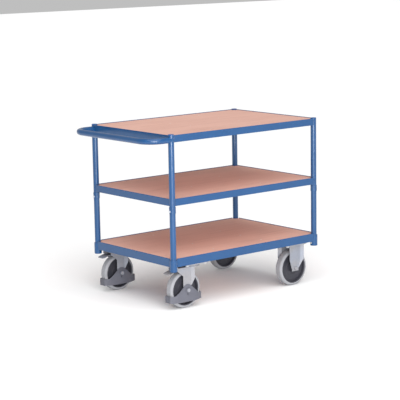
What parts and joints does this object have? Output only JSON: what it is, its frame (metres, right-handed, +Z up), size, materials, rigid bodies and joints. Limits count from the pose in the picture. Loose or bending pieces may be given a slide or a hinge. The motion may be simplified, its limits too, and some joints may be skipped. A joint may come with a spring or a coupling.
{
  "type": "three-deck table trolley",
  "caption": "Steel table trolley with wooden decks on round corner posts, a tube push handle, fixed casters at the front and braked swivel casters with foot guards at the handle end.",
  "frame": {"origin": "on the floor, at the centre of the whole trolley's bounding box", "axes": "+X along the deck, away from the push handle; +Y across the deck; +Z up"},
  "size_m": [1.192, 0.7148, 0.937],
  "materials": {
    "frame_paint": "blue powder coat, satin gloss",
    "board_wood": "beech-look laminate, satin",
    "zinc_steel": "bright zinc plated pressed steel",
    "fastener_steel": "bright zinc plated",
    "bearing_steel": "ground steel",
    "tyre_rubber": "light grey non-marking solid rubber",
    "pad_rubber": "black rubber",
    "rim_plastic": "anthracite moulded plastic",
    "guard_plastic": "grey moulded plastic",
    "cap_plastic": "blue moulded plastic"
  },
  "bodies": {
    "chassis": {"board_bearers": "frame_paint", "board_screws": "fastener_steel", "caster_bearers": "frame_paint", "caster_bolts": "fastener_steel", "corner_sockets": "frame_paint", "fixed_axles": "zinc_steel", "fixed_far_fork": "zinc_steel", "fixed_near_fork": "zinc_steel", "joint_sleeves": "frame_paint", "kingpins": "zinc_steel", "locking_screws": "fastener_steel", "low_board": "board_wood", "low_rail_far": "frame_paint", "low_rail_front_end": "frame_paint", "low_rail_handle_end": "frame_paint", "low_rail_near": "frame_paint", "lower_post_front_far": "frame_paint", "lower_post_front_near": "frame_paint", "lower_post_handle_far": "frame_paint", "lower_post_handle_near": "frame_paint", "middle_board": "board_wood", "middle_rail_far": "frame_paint", "middle_rail_front_end": "frame_paint", "middle_rail_handle_end": "frame_paint", "middle_rail_near": "frame_paint", "post_caps": "cap_plastic", "push_handle": "frame_paint", "swivel_plates": "zinc_steel", "top_board": "board_wood", "top_rail_far": "frame_paint", "top_rail_front_end": "frame_paint", "top_rail_handle_end": "frame_paint", "top_rail_near": "frame_paint", "upper_post_front_far": "frame_paint", "upper_post_front_near": "frame_paint", "upper_post_handle_far": "frame_paint", "upper_post_handle_near": "frame_paint"},
    "swivel_near_caster": {"swivel_near_fork": "zinc_steel", "swivel_near_axle": "zinc_steel", "swivel_near_guard": "guard_plastic"},
    "swivel_near_wheel": {"swivel_near_tyre": "tyre_rubber", "swivel_near_rim": "rim_plastic", "swivel_near_bearing": "bearing_steel"},
    "swivel_near_brake": {"swivel_near_pedal": "zinc_steel", "swivel_near_brake_pad": "pad_rubber"},
    "fixed_near_wheel": {"fixed_near_tyre": "tyre_rubber", "fixed_near_rim": "rim_plastic", "fixed_near_bearing": "bearing_steel"},
    "swivel_far_caster": {"swivel_far_fork": "zinc_steel", "swivel_far_axle": "zinc_steel", "swivel_far_guard": "guard_plastic"},
    "swivel_far_wheel": {"swivel_far_tyre": "tyre_rubber", "swivel_far_rim": "rim_plastic", "swivel_far_bearing": "bearing_steel"},
    "swivel_far_brake": {"swivel_far_pedal": "zinc_steel", "swivel_far_brake_pad": "pad_rubber"},
    "fixed_far_wheel": {"fixed_far_tyre": "tyre_rubber", "fixed_far_rim": "rim_plastic", "fixed_far_bearing": "bearing_steel"}
  },
  "joints": [
    {"name": "swivel_near_turn", "type": "hinge", "parent": "chassis", "child": "swivel_near_caster", "pos_m": [-0.284, -0.293, 0.224], "axis": [0, 0, 1], "continuous": true},
    {"name": "swivel_near_roll", "type": "hinge", "parent": "swivel_near_caster", "child": "swivel_near_wheel", "pos_m": [-0.342, -0.293, 0.1], "axis": [0, 1, 0], "continuous": true},
    {"name": "swivel_near_brake_press", "type": "hinge", "parent": "swivel_near_caster", "child": "swivel_near_brake", "pos_m": [-0.342, -0.293, 0.2095], "axis": [0, -1, 0], "range_deg": [0, 10.5]},
    {"name": "fixed_near_roll", "type": "hinge", "parent": "chassis", "child": "fixed_near_wheel", "pos_m": [0.437, -0.293, 0.1], "axis": [0, 1, 0], "continuous": true},
    {"name": "swivel_far_turn", "type": "hinge", "parent": "chassis", "child": "swivel_far_caster", "pos_m": [-0.284, 0.293, 0.224], "axis": [0, 0, 1], "continuous": true},
    {"name": "swivel_far_roll", "type": "hinge", "parent": "swivel_far_caster", "child": "swivel_far_wheel", "pos_m": [-0.342, 0.293, 0.1], "axis": [0, 1, 0], "continuous": true},
    {"name": "swivel_far_brake_press", "type": "hinge", "parent": "swivel_far_caster", "child": "swivel_far_brake", "pos_m": [-0.342, 0.293, 0.2095], "axis": [0, -1, 0], "range_deg": [0, 10.5]},
    {"name": "fixed_far_roll", "type": "hinge", "parent": "chassis", "child": "fixed_far_wheel", "pos_m": [0.437, 0.293, 0.1], "axis": [0, 1, 0], "continuous": true}
  ]
}
